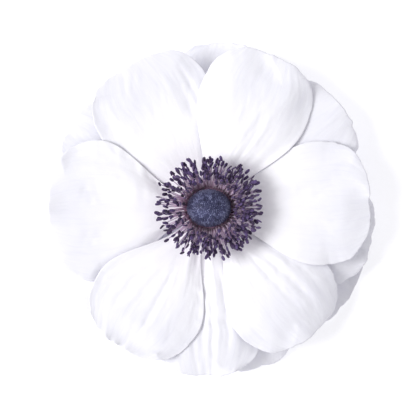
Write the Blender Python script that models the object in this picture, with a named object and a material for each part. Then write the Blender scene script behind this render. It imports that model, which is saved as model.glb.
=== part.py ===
"""A white anemone bloom with a dark eye, cut just under the head and lying face up.

Metres, +Z up. The bloom lies on the plane z = 0. It is built round the Z axis as the
stem's axis, and moved sideways at the end so that its box is centred on the Z axis.
Fourteen petals stand in layers round the swollen top of the stem. On top of the stem
sits the shoulder that carries the stamens, and on that the domed head of pistils.
"""

import math
import random
from dataclasses import dataclass

import bmesh
import bpy
import numpy as np
from mathutils import Matrix, Vector
from mathutils.bvhtree import BVHTree

MM = 0.001
SEAT_GAP = 0.3 * MM  # between pieces that touch on the real flower

# Stem: a short cut stub that swells to carry the petals
STEM_RADIUS = 2.3 * MM
STEM_TOP_RADIUS = 4.4 * MM
STEM_EDGE = 0.2 * MM  # the cut's rounded edge
STEM_FOOT_Z = 0.6 * MM
STEM_NECK_Z = 2.2 * MM
STEM_SHOULDER_Z = 3.7 * MM
STEM_TOP_Z = 9.0 * MM
STEM_SIDES = 24
STEM_FLARE = STEM_TOP_RADIUS - STEM_RADIUS
STEM_SWELL = STEM_SHOULDER_Z - STEM_NECK_Z

# Petals. Along a petal, shares count from the stem's axis (0) to the tip (1)
PETAL_THICKNESS = 0.62 * MM
PETAL_ROOT = 4.75 * MM  # from the stem's axis
ROOT_SHARE = 0.103
WIDEST_SHARE = 0.68
BOWL_SHARE = 0.56  # where the bowl is highest and the droop starts
OPENED_SHARE = 0.5  # from here on the arch across is full
FOLD_FADES = (0.1, 0.2)  # lengths over which a furrow starts and ends
WAVES_ROUND = 5  # ripples round a whole rim
LOBES_ROUND = 9
LOBE_DEPTH = 0.012  # how far the outline swells and shrinks, as a share of the petal's size
CELLS_ACROSS = 10
CELLS_TO_WIDEST = 7
CELLS_TO_TIP = 5
PETAL_SMOOTH_DEGREES = 50

# How the petals lie on each other
LAYER_PITCH = 1.14 * MM  # from one petal's middle surface up to the next one's
APRON = 1.5 * MM  # a petal holds up what passes this close to its rim
LIFT_PASSES = 60  # of smoothing
ROOT_HOLD = 0.5  # how much of its neighbours' lift the root takes on
ROOT_HOLD_ROWS = 3  # and the row from which a petal takes on all of it
ABOVE_ALL = 0.1  # height that no petal reaches


@dataclass(frozen=True)
class Fold:
    """A furrow along a petal. Its places are shares of the petal's size, from -1 at its right rim to 1."""

    across: float
    width: float
    depth: float  # mm
    start: float
    end: float


@dataclass(frozen=True)
class Petal:
    """The shape of one petal, in millimetres and degrees, before those under it lift it."""

    name: str
    heading: float
    reach: float  # from the stem's axis to the tip
    half_width: float
    droop: float  # the tip bends down by this, or up where it is less than 0
    root: float = 6.1  # height where it leaves the stem
    rise: float = 3.5  # from the root up to the edge of a shallow bowl
    settled: float = 0.0  # 1 where the tip levels off again on the ground
    crown: float = 1.0  # arch across the middle, and where it is less than 0 a trough
    roll: float = 0.4  # the rim turns down by this
    sway: float = 0.0  # the tip swings to the left by this
    square: float = 2.6  # 2 is an elliptic tip, and more is blunter
    claw: float = 0.24  # width at the root, as a share of the greatest
    taper: float = 1.5  # the higher, the longer the petal stays narrow
    wave: float = 0.5  # ripples of the rim
    folds: tuple = ()


# From the lowest to the top one. The first seven show only their rims, and three of them carry the bloom.
PETALS = (
    Petal("outer_petal_1", -127.0, 46.0, 15.3, 7.3, 4.2, 2.6, settled=1, crown=0.8, roll=0.1, wave=0.2),
    Petal("outer_petal_2", -72.0, 47.3, 13.5, 5.4, 4.2, 2.6, crown=0.8, roll=0.3, sway=0.4, wave=0.4),
    Petal("outer_petal_3", -31.0, 46.9, 15.8, 8.0, 4.2, 2.6, settled=1, crown=0.9, roll=0.3, wave=0.2),
    Petal("outer_petal_4", -10.0, 46.7, 15.8, 2.8, 4.6, 2.8, roll=0.3, wave=0.4),
    Petal("outer_petal_5", 37.5, 46.8, 15.5, 1.0, 5.3, 3.9, crown=0.9, roll=0.3, wave=0.4),
    Petal("outer_petal_6", 82.0, 46.9, 15.5, 7.8, 4.2, 2.6, settled=1, crown=0.8, roll=0.2, wave=0.2),
    Petal("outer_petal_7", 148.0, 45.0, 14.5, -0.6, 4.2, 2.6, crown=0.4, roll=0.0, wave=0.4),
    Petal("inner_petal_2", -91.0, 46.9, 15.5, 1.0, 5.3, 3.4, crown=0.3, roll=0.2, square=2.7,
          folds=(Fold(-0.10, 0.12, 0.7, 0.15, 0.95), Fold(-0.45, 0.14, 0.5, 0.15, 0.8))),
    Petal("inner_petal_3", -51.0, 45.8, 15.8, 2.6, 5.7, 3.0, crown=1.4, square=2.5, claw=0.19, taper=2.1),
    Petal("inner_petal_4", 2.5, 45.0, 17.3, -0.4, 6.1, 2.9, crown=0.6, roll=0.3, wave=0.3),
    Petal("inner_petal_5", 118.5, 45.6, 17.2, -1.6, 6.2, 2.8, crown=-0.5, roll=0.1, square=2.8, wave=0.3,
          folds=(Fold(-0.55, 0.14, 0.6, 0.5, 0.95),)),
    Petal("inner_petal_1", 181.5, 44.8, 19.8, -1.4, 6.9, 2.3, crown=0.2, roll=0.1, square=2.4,
          claw=0.19, taper=2.1),
    Petal("inner_petal_6", -122.5, 46.1, 16.2, -1.2, 6.4, 2.2, crown=-0.7, roll=0.0, square=2.4,
          claw=0.19, taper=2.2, wave=0.3),
    Petal("inner_petal_7", 66.5, 46.2, 15.8, 0.6, 6.5, 3.7, crown=0.9, wave=0.2,
          folds=(Fold(-0.25, 0.12, 0.4, 0.12, 0.7), Fold(-0.5, 0.12, 0.4, 0.15, 0.75))),
)

# Stamens, rooted in an oval shoulder round the pistils
SHOULDER_RADIUS_X = 7.0 * MM
SHOULDER_RADIUS_Y = 6.1 * MM
SHOULDER_THICKNESS = 1.6 * MM
SHOULDER_FOOT_SHARE = 0.62  # it flares from this share of its radii where it sits on the stem
SHOULDER_SIDES = 28
SHOULDER_Z = STEM_TOP_Z + SEAT_GAP
STAMEN_COUNT = 88
STAMEN_ROOT_SHARE = 0.86  # of the shoulder's radius
GOLDEN_ANGLE = math.pi * (3 - math.sqrt(5))
ANTHER_RING = (8.7 * MM, 14.2 * MM)  # from the innermost to the outermost anther's middle
ANTHER_Z = (16.8 * MM, 14.7 * MM)
ANTHER_SCATTER = 0.5 * MM
ANTHER_SWING = 0.06  # radians to either side
ANTHER_OVAL = 0.96  # the ring's size along Y, as a share of that along X
ANTHER_LENGTH = 1.9 * MM
ANTHER_RADIUS = 0.46 * MM
FILAMENT_RADIUS = 0.23 * MM
FILAMENT_BEND = 0.09  # rise of its bend, as a share of its length
STAMEN_SEED = 7

# Pistils: an oval dome set with short points
HEAD_RADIUS_X = 6.2 * MM
HEAD_RADIUS_Y = 5.2 * MM
HEAD_HALF_HEIGHT = 4.9 * MM
HEAD_CUT = -0.62  # the flat underside, as a share of the half height below its middle
HEAD_RIM_POINTS = 24
PISTIL_POINTS = 240
PISTIL_LENGTH = 0.45 * MM
UNDERSIDE_NORMAL_Z = -0.45  # faces that look down more steeply than this carry no pistils


def material(name, colour, roughness):
    made = bpy.data.materials.new(name)
    made.use_nodes = True
    shader = made.node_tree.nodes["Principled BSDF"]
    shader.inputs["Base Color"].default_value = (*colour, 1.0)
    shader.inputs["Roughness"].default_value = roughness
    shader.inputs["Metallic"].default_value = 0.0
    return made


def add_object(name, mesh, finish, smooth_degrees=None):
    obj = bpy.data.objects.new(name, mesh)
    bpy.context.scene.collection.objects.link(obj)
    mesh.materials.append(finish)
    if smooth_degrees is not None:
        mesh.shade_smooth()
        mesh.set_sharp_from_angle(angle=math.radians(smooth_degrees))
    return obj


def mesh_from_bmesh(name, bm):
    mesh = bpy.data.meshes.new(name)
    bm.to_mesh(mesh)
    bm.free()
    return mesh


# ---- petals


def half_width_share(petal, share):
    """How wide a petal is between its narrow root and its widest place, as a share of the widest."""
    grown = np.clip((share - ROOT_SHARE) / (WIDEST_SHARE - ROOT_SHARE), 0, 1)
    return petal.claw + (1 - petal.claw) * np.sin(grown * math.pi / 2) ** petal.taper


def petal_plan(petal, x, y):
    """Distance along and offset across, in metres, for grid places x and y from -1 to 1.

    Below the widest place the rows are straight. Above it the square grid is drawn
    round into half a superellipse, so the rim is smooth and no cell shrinks to a point.
    """
    reach = petal.reach * MM
    widest = WIDEST_SHARE * reach
    tipward = np.maximum(y, 0)
    round_x = x * np.sqrt(1 - tipward**2 / 2)
    round_y = tipward * np.sqrt(1 - x**2 / 2)
    turn = np.arctan2(round_y, round_x)
    power = petal.square
    swell = (np.abs(np.cos(turn)) ** power + np.abs(np.sin(turn)) ** power) ** (-1 / power)
    swell = swell * (1 + LOBE_DEPTH * tipward * np.sin(LOBES_ROUND * turn + petal.heading))
    along = widest + np.where(y < 0, (widest - PETAL_ROOT) * y, (reach - widest) * round_y * swell)
    narrowed = np.where(y < 0, half_width_share(petal, along / reach) * x, round_x * swell)
    across = petal.half_width * MM * narrowed + petal.sway * MM * (along / reach) ** 2
    return along, across


def petal_height(petal, x, y, along):
    """Height of the petal's middle surface, before those under it lift it."""
    share = along / (petal.reach * MM)
    bowl = np.sin(np.clip((share - ROOT_SHARE) / (BOWL_SHARE - ROOT_SHARE), 0, 1) * math.pi / 2)
    bend = np.clip((share - BOWL_SHARE) / (1 - BOWL_SHARE), 0, 1)
    bent = bend**2 * (1 + petal.settled * (2 - 2 * bend))
    opened = np.clip((share - ROOT_SHARE) / (OPENED_SHARE - ROOT_SHARE), 0, 1)
    rim = np.maximum(np.abs(x) * opened, np.maximum(y, 0))  # 0 in the middle and 1 at the rim
    height = petal.root + petal.rise * bowl - petal.droop * bent
    height = height - petal.crown * x**2 * opened - petal.roll * rim**6
    height = height + petal.wave * rim**4 * np.sin(WAVES_ROUND * np.arctan2(y, x) + petal.heading)
    for fold in petal.folds:
        starting = np.clip((share - fold.start) / FOLD_FADES[0], 0, 1)
        ending = np.clip((fold.end - share) / FOLD_FADES[1], 0, 1)
        furrow = np.exp(-(((x - fold.across) / fold.width) ** 2))
        height = height - fold.depth * starting * ending * furrow
    return height * MM


def petal_sheet(petal):
    """The petal's middle surface as rows of points from root to tip."""
    y_low = np.linspace(-1, 0, CELLS_TO_WIDEST + 1)
    y_high = np.linspace(0, 1, CELLS_TO_TIP + 1)[1:]
    x, y = np.meshgrid(np.linspace(-1, 1, CELLS_ACROSS + 1), np.concatenate([y_low, y_high]))
    along, across = petal_plan(petal, x, y)
    height = petal_height(petal, x, y, along)
    turn = math.radians(petal.heading)
    east = along * math.cos(turn) - across * math.sin(turn)
    north = along * math.sin(turn) + across * math.cos(turn)
    return np.stack([east, north, height], axis=-1)


def quads(rows, columns):
    """Corners of the cells of a sheet, facing up where rows run to the tip and columns to the left."""
    return [
        (r * columns + c, (r + 1) * columns + c, (r + 1) * columns + c + 1, r * columns + c + 1)
        for r in range(rows - 1)
        for c in range(columns - 1)
    ]


def widened(rows):
    """The rows with one more at each end, an apron's width further out."""

    def beyond(edge, inner):
        outward = edge - inner
        return edge + APRON * outward / np.linalg.norm(outward, axis=-1, keepdims=True)

    return np.concatenate([[beyond(rows[0], rows[1])], rows, [beyond(rows[-1], rows[-2])]])


def support_tree(sheet):
    """A petal's surface with an apron round it, for the petals above to rest on."""
    longer = widened(sheet)
    wide = widened(longer.swapaxes(0, 1)).swapaxes(0, 1)
    points = [Vector(point) for point in wide.reshape(-1, 3)]
    return BVHTree.FromPolygons(points, quads(*wide.shape[:2]))


def halved(rows):
    """The rows with one more halfway between each two."""
    finer = np.empty((2 * len(rows) - 1, *rows.shape[1:]))
    finer[::2] = rows
    finer[1::2] = (rows[:-1] + rows[1:]) / 2
    return finer


def lift_needed(sheet, supports):
    """How far each point of the sheet has to rise for its part of the petal to clear those under it."""
    finer = halved(halved(sheet).swapaxes(0, 1)).swapaxes(0, 1)
    need = np.zeros(finer.shape[:2])
    for place in np.ndindex(need.shape):
        east, north, height = finer[place]
        for tree in supports:
            hit = tree.ray_cast(Vector((east, north, ABOVE_ALL)), Vector((0, 0, -1)))[0]
            if hit is not None:
                need[place] = max(need[place], hit.z + LAYER_PITCH - height)
    rows, columns = need.shape
    padded = np.pad(need, 1, mode="edge")
    around = [padded[r : r + rows : 2, c : c + columns : 2] for r in range(3) for c in range(3)]
    return np.max(around, axis=0)


def lifted(sheet, supports):
    """The sheet raised clear of the petals under it and of the ground, with the lift spread smoothly."""
    need = lift_needed(sheet, supports)
    hold = np.interp(np.arange(len(sheet)), (0, ROOT_HOLD_ROWS), (ROOT_HOLD, 1))[:, None]
    lift = need
    for _ in range(LIFT_PASSES):
        padded = np.pad(lift, 1, mode="edge")
        mean = (padded[:-2, 1:-1] + padded[2:, 1:-1] + padded[1:-1, :-2] + padded[1:-1, 2:]) / 4
        lift = np.maximum(need, mean * hold)
    raised = sheet.copy()
    raised[..., 2] = np.maximum(sheet[..., 2] + lift, PETAL_THICKNESS / 2)
    return raised


def thick_petal(name, sheet):
    """A closed shell of even thickness round the sheet, cut into the same triangles on both faces."""
    rows, columns = sheet.shape[:2]
    up = np.cross(np.gradient(sheet, axis=0), np.gradient(sheet, axis=1))
    up /= np.linalg.norm(up, axis=-1, keepdims=True)
    up[sheet[..., 2] <= PETAL_THICKNESS / 2] = (0, 0, 1)  # lies flat on the ground
    offset = up * PETAL_THICKNESS / 2
    over = []
    for a, b, c, d in quads(rows, columns):
        over += [(a, b, c), (a, c, d)]
    count = rows * columns
    under = [(c + count, b + count, a + count) for a, b, c in over]
    index = np.arange(count).reshape(rows, columns)
    rim = [*index[0], *index[1:, -1], *index[-1, -2::-1], *index[-2:0:-1, 0]]
    sides = [(a, b, b + count, a + count) for a, b in zip(rim, rim[1:] + rim[:1])]
    points = np.concatenate([(sheet + offset).reshape(-1, 3), (sheet - offset).reshape(-1, 3)])
    mesh = bpy.data.meshes.new(name)
    mesh.from_pydata(points.tolist(), [], over + under + sides)
    return mesh


def make_petals(finish):
    supports = []
    for petal in PETALS:
        sheet = lifted(petal_sheet(petal), supports)
        supports.append(support_tree(sheet))
        add_object(petal.name, thick_petal(petal.name, sheet), finish, PETAL_SMOOTH_DEGREES)


# ---- stem


def make_stem(finish):
    """The cut stub and the swelling that carries the petals, turned round the Z axis."""
    profile = (
        (0, STEM_FOOT_Z),
        (STEM_RADIUS - STEM_EDGE, STEM_FOOT_Z),
        (STEM_RADIUS, STEM_FOOT_Z + STEM_EDGE),
        (STEM_RADIUS, STEM_NECK_Z),
        (STEM_RADIUS + STEM_FLARE * 0.3, STEM_NECK_Z + STEM_SWELL * 0.5),
        (STEM_RADIUS + STEM_FLARE * 0.85, STEM_SHOULDER_Z - STEM_SWELL * 0.2),
        (STEM_TOP_RADIUS, STEM_SHOULDER_Z),
        (STEM_TOP_RADIUS, STEM_TOP_Z - STEM_EDGE),
        (STEM_TOP_RADIUS - STEM_EDGE, STEM_TOP_Z),
        (0, STEM_TOP_Z),
    )
    bm = bmesh.new()
    chain = [bm.verts.new((radius, 0, z)) for radius, z in profile]
    edges = [bm.edges.new(pair) for pair in zip(chain, chain[1:])]
    bmesh.ops.spin(
        bm, geom=chain + edges, cent=(0, 0, 0), axis=(0, 0, 1), angle=math.tau, steps=STEM_SIDES
    )
    bmesh.ops.remove_doubles(bm, verts=bm.verts, dist=0.01 * MM)
    bmesh.ops.recalc_face_normals(bm, faces=bm.faces)
    add_object("stem", mesh_from_bmesh("stem", bm), finish, smooth_degrees=40)


# ---- stamens


def oval(angle, radius_x, radius_y):
    return Vector((radius_x * math.cos(angle), radius_y * math.sin(angle), 0))


def tube(name, path, radii):
    """A closed square tube through the points of the path, with its own radius at each."""
    bm = bmesh.new()
    rings = []
    side = Vector((0, 0, 1)).cross(path[-1] - path[0]).normalized()
    for place, radius in enumerate(radii):
        ahead = path[min(place + 1, len(path) - 1)] - path[max(place - 1, 0)]
        up = ahead.cross(side).normalized()
        corners = [path[place] + radius * arm for arm in (side, up, -side, -up)]
        rings.append([bm.verts.new(corner) for corner in corners])
    for low, high in zip(rings, rings[1:]):
        for k in range(len(low)):
            bm.faces.new((low[k], low[k - 1], high[k - 1], high[k]))
    bm.faces.new(rings[0])
    bm.faces.new(rings[-1][::-1])
    bmesh.ops.recalc_face_normals(bm, faces=bm.faces)
    return mesh_from_bmesh(name, bm)


def stamen_path(number, draw):
    """Points from the root to the anther's end. Turning by the golden angle spaces the stamens evenly."""
    angle = number * GOLDEN_ANGLE
    out = math.sqrt((number + 0.5) / STAMEN_COUNT)
    radius = np.interp(out, (0, 1), ANTHER_RING) + draw.uniform(-1, 1) * ANTHER_SCATTER
    height = np.interp(out, (0, 1), ANTHER_Z) + draw.uniform(-1, 1) * ANTHER_SCATTER
    angle_at_tip = angle + draw.uniform(-1, 1) * ANTHER_SWING
    root = oval(angle, SHOULDER_RADIUS_X, SHOULDER_RADIUS_Y) * STAMEN_ROOT_SHARE
    root.z = SHOULDER_Z + SHOULDER_THICKNESS * 0.7
    anther = oval(angle_at_tip, radius, radius * ANTHER_OVAL)
    anther.z = height
    bend = root.lerp(anther, 0.45)
    bend.z += FILAMENT_BEND * (anther - root).length
    lie = (anther - bend).normalized()
    neck = anther - lie * ANTHER_LENGTH / 2
    end = anther + lie * ANTHER_LENGTH / 2
    return [root, bend, neck, neck.lerp(end, 0.2), neck.lerp(end, 0.75), end]


def make_stamens(finish):
    bm = bmesh.new()
    bmesh.ops.create_cone(
        bm,
        cap_ends=True,
        segments=SHOULDER_SIDES,
        radius1=SHOULDER_FOOT_SHARE,
        radius2=1,
        depth=SHOULDER_THICKNESS,
    )
    bmesh.ops.scale(bm, vec=(SHOULDER_RADIUS_X, SHOULDER_RADIUS_Y, 1), verts=bm.verts)
    bmesh.ops.translate(bm, vec=(0, 0, SHOULDER_Z + SHOULDER_THICKNESS / 2), verts=bm.verts)
    stamens = add_object("stamens", mesh_from_bmesh("stamens", bm), finish)

    draw = random.Random(STAMEN_SEED)
    repeats = bpy.data.collections.new("stamen_repeats")
    for number in range(STAMEN_COUNT):
        path = stamen_path(number, draw)
        radii = [FILAMENT_RADIUS * 1.1, FILAMENT_RADIUS, FILAMENT_RADIUS * 0.85]
        radii += [ANTHER_RADIUS, ANTHER_RADIUS * 0.9, ANTHER_RADIUS * 0.3]
        repeats.objects.link(bpy.data.objects.new(f"stamen_{number}", tube("stamen", path, radii)))
    join_collection(stamens, repeats)


def join_collection(obj, collection):
    """One Boolean union of the object with all of the collection, applied, and the collection removed."""
    union = obj.modifiers.new("join", "BOOLEAN")
    union.operation = "UNION"
    union.operand_type = "COLLECTION"
    union.collection = collection
    union.solver = "MANIFOLD"
    bpy.context.view_layer.update()
    graph = bpy.context.evaluated_depsgraph_get()
    joined = bpy.data.meshes.new_from_object(obj.evaluated_get(graph))
    obj.modifiers.clear()
    obj.data = joined
    for repeat in list(collection.objects):
        bpy.data.objects.remove(repeat)
    bpy.data.collections.remove(collection)


# ---- pistils


def make_pistil_head(finish):
    """An oval dome over evenly spread points, with each of its facets raised to a short pistil."""
    bm = bmesh.new()
    for number in range(PISTIL_POINTS):
        z = 1 - (1 - HEAD_CUT) * (number + 0.5) / PISTIL_POINTS
        flat = oval(number * GOLDEN_ANGLE, HEAD_RADIUS_X, HEAD_RADIUS_Y) * math.sqrt(1 - z * z)
        bm.verts.new((flat.x, flat.y, z * HEAD_HALF_HEIGHT))
    for number in range(HEAD_RIM_POINTS):
        angle = math.tau * number / HEAD_RIM_POINTS
        rim = oval(angle, HEAD_RADIUS_X, HEAD_RADIUS_Y) * math.sqrt(1 - HEAD_CUT**2)
        bm.verts.new((rim.x, rim.y, HEAD_CUT * HEAD_HALF_HEIGHT))
    hull = bmesh.ops.convex_hull(bm, input=bm.verts)
    bmesh.ops.delete(bm, geom=hull["geom_interior"], context="VERTS")
    bmesh.ops.recalc_face_normals(bm, faces=bm.faces)
    domed = [face for face in bm.faces if face.normal.z > UNDERSIDE_NORMAL_Z]
    bmesh.ops.poke(bm, faces=domed, offset=PISTIL_LENGTH)
    seat = SHOULDER_Z + SHOULDER_THICKNESS + SEAT_GAP
    bmesh.ops.translate(bm, vec=(0, 0, seat - HEAD_CUT * HEAD_HALF_HEIGHT), verts=bm.verts)
    add_object("pistil_head", mesh_from_bmesh("pistil_head", bm), finish)


def centre_on_ground(objects):
    """Move everything so that its box is centred on the Z axis and its lowest point is at z = 0."""
    points = np.concatenate([[tuple(v.co) for v in obj.data.vertices] for obj in objects])
    low, high = points.min(axis=0), points.max(axis=0)
    shift = Matrix.Translation((-(low[0] + high[0]) / 2, -(low[1] + high[1]) / 2, -low[2]))
    for obj in objects:
        obj.data.transform(shift)


def main():
    for obj in list(bpy.data.objects):
        bpy.data.objects.remove(obj)
    make_stem(material("green stem", (0.22, 0.34, 0.10), 0.55))
    make_petals(material("white petal", (0.93, 0.92, 0.95), 0.60))
    make_stamens(material("dark purple stamen", (0.10, 0.06, 0.14), 0.60))
    make_pistil_head(material("blue-black pistil", (0.03, 0.03, 0.06), 0.70))
    centre_on_ground(list(bpy.data.objects))


main()
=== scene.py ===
# A white anemone bloom with a dark eye, dressed over its CAD solids: thin veined petals, stamens,
# pistils and a cut stem, lying face up on a pale table in soft light.

import math

import bpy
import numpy as np
from mathutils import Matrix, Vector
from mathutils.bvhtree import BVHTree


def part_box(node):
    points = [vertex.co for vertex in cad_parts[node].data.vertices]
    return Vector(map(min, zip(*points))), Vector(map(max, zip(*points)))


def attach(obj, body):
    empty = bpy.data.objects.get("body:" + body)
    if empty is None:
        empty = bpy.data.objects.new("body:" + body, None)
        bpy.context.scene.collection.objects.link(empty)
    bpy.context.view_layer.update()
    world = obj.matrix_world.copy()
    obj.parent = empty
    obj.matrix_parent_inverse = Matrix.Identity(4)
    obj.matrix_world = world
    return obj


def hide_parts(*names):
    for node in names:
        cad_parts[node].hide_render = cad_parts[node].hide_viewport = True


mm = 0.001
goldenAngle = math.pi * (3 - math.sqrt(5))

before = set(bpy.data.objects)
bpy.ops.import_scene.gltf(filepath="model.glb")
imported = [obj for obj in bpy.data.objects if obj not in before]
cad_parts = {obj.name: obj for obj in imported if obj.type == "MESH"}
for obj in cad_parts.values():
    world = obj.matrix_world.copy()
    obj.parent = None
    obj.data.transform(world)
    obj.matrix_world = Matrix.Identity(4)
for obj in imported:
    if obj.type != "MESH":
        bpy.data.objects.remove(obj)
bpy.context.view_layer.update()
stemLow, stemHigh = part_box("stem")
stemFoot = 0.6 * mm  # the stem's cut end hangs this far above the table
bloomAxis = Vector(((stemLow.x + stemHigh.x) / 2, (stemLow.y + stemHigh.y) / 2, stemLow.z - stemFoot))


# Small tools


def colour(hexValue, alpha=1.0):
    parts = [int(hexValue[k : k + 2], 16) / 255 for k in (1, 3, 5)]
    return (*[c / 12.92 if c <= 0.04045 else ((c + 0.055) / 1.055) ** 2.4 for c in parts], alpha)


def addNode(tree, kind, inputs=None, **settings):
    # inputs: a socket's name or number, and a value, the socket that feeds it or a node's first output
    node = tree.nodes.new(kind)
    for key, value in settings.items():
        setattr(node, key, value)
    for key, value in (inputs or {}).items():
        if isinstance(value, bpy.types.Node):
            value = value.outputs[0]
        if isinstance(value, bpy.types.NodeSocket):
            tree.links.new(value, node.inputs[key])
        else:
            node.inputs[key].default_value = value
    return node


def newMaterial(name, **sockets):
    made = bpy.data.materials.new(name)
    made.use_nodes = True
    shader = made.node_tree.nodes["Principled BSDF"]
    for key, value in sockets.items():
        shader.inputs[key].default_value = value
    return made, made.node_tree, shader


def finishMaterial(tree, shader, skin, covers, relief, strength, depth):
    # covers: how much of the skin each one covers, and its colour. The relief is a bump, its depth in mm
    for share, cover in covers:
        tint = colour(cover) if isinstance(cover, str) else cover
        mixed = addNode(tree, "ShaderNodeMix", {"Factor": share, 6: skin, 7: tint}, data_type="RGBA")
        skin = mixed.outputs[2]
    bump = addNode(tree, "ShaderNodeBump", {"Height": relief, "Strength": strength, "Distance": depth * mm})
    tree.links.new(skin, shader.inputs["Base Color"])
    tree.links.new(bump.outputs[0], shader.inputs["Normal"])


def ramp(node, stops):
    # stops: place and hex colour, from left to right
    elements = node.color_ramp.elements
    while len(elements) < len(stops):
        elements.new(0.5)
    for element, (place, hexValue) in zip(elements, stops):
        element.position = place
        element.color = colour(hexValue)
    return node


def addPiece(name, mesh, slotName, *cadNodes):
    obj = bpy.data.objects.new(name, mesh)
    bpy.context.scene.collection.objects.link(obj)
    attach(obj, "root")
    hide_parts(*cadNodes)


def softNoise(u, v, seed):
    # smooth noise from -1 to 1, one bump about every unit of u and of v
    lattice = np.random.default_rng(seed).uniform(-1, 1, (64, 64))
    iu, iv = np.floor(u).astype(int), np.floor(v).astype(int)
    fu, fv = u - iu, v - iv
    fu, fv = fu * fu * (3 - 2 * fu), fv * fv * (3 - 2 * fv)
    low = lattice[iu % 64, iv % 64] * (1 - fu) + lattice[(iu + 1) % 64, iv % 64] * fu
    high = lattice[iu % 64, (iv + 1) % 64] * (1 - fu) + lattice[(iu + 1) % 64, (iv + 1) % 64] * fu
    return low * (1 - fv) + high * fv


# Petals. They lie in layers from the first to the last, and each rests on those before it.
# Lengths are millimetres, headings degrees, and shares count from the stem's axis (0) to the tip (1).
# Places across a petal go from -1, its right rim, to 1, its left rim.

petalLook = {
    "thickness": 0.34,
    "rimThickness": 0.14,
    "innerRoot": 4.3,  # from the stem's axis
    "clearance": 0.32,  # between the middles of two petals
    "veinHeight": 0.028,
    "wrinkles": 0.045,  # fine ones that run with the veins
    "pleats": 0.06,
    "smoothFoot": 0.15,  # share of the petal without pleats, and how soon they come in
    "smoothFade": 0.4,
    "foldFades": (0.12, 0.25),
    "foldRidge": 0.4,  # beside each fold, as a share of its depth
    "unevenness": 0.2,
    "ruffle": 0.12,
    "rimCurl": 0.06,
    "rimNotches": 0.022,
    "settleLimit": 2.0,
    "settlePasses": 120,
    "settleMargin": (0.4, 0.55),  # where it starts from the midrib outwards, and how soon it is full
    "settleFoot": (0.14, 0.12),  # and from the root
    "liftPasses": 25,
    "smoothPasses": 20,
    "cells": (92, 58, 42),  # across, to the widest place, and from there to the tip
}

# settling: how far the right and the left margin lie down on the petals below
# cadFolds: where across, width, depth, start, end
# folds: where across at the start and at the end, width, depth, start, end

petalDefaults = {
    "root": 4.2, "rise": 2.6, "settled": 0, "crown": 1.0, "roll": 0.3, "sway": 0, "square": 2.6,
    "wave": 0.4, "claw": (0.24, 1.5), "settling": (0.75, 0.75), "cadFolds": [], "folds": [],
}

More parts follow.
